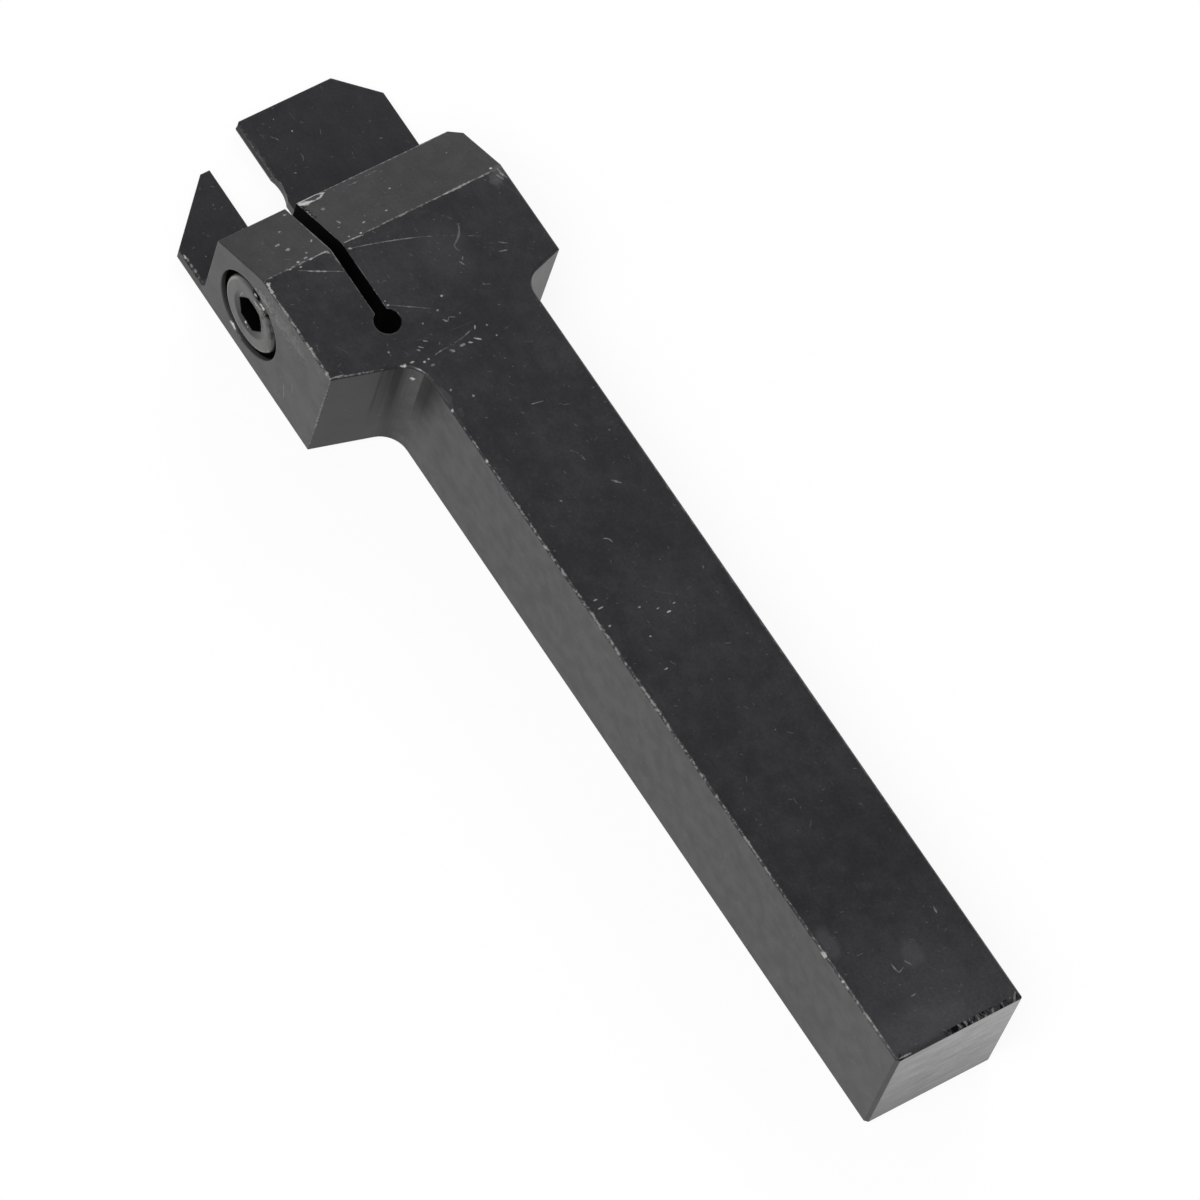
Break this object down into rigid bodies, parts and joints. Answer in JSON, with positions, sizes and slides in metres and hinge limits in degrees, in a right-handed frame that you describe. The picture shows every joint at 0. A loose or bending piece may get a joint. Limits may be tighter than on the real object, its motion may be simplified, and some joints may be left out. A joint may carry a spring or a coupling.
{
  "type": "turning tool holder",
  "caption": "Square-shank lathe tool holder with a split head, a thin grooving blade that holds an insert between two jaws, and a socket-head clamp screw.",
  "frame": {"origin": "middle of the footprint, on the surface that the holder's flat side lies on", "axes": "+X along the shank towards the cutting end, +Y up when the tool is in use (the side with the clamp screw), +Z through the thickness, away from the flat side that carries the blade"},
  "size_m": [0.1, 0.0232, 0.012],
  "materials": {
    "holder_steel": "black oxide, milled and ground, scratched and worn bright on some edges",
    "screw_steel": "black oxide, satin, worn round the socket"
  },
  "bodies": {
    "holder": {"holder_body": "holder_steel"},
    "screw": {"clamp_screw": "screw_steel"}
  },
  "joints": [
    {"name": "clamp_screw_turn", "type": "hinge", "parent": "holder", "child": "screw", "pos_m": [0.0324, 0.01155, 0.0056], "axis": [0, 1, 0], "range_deg": [0, 450]}
  ]
}
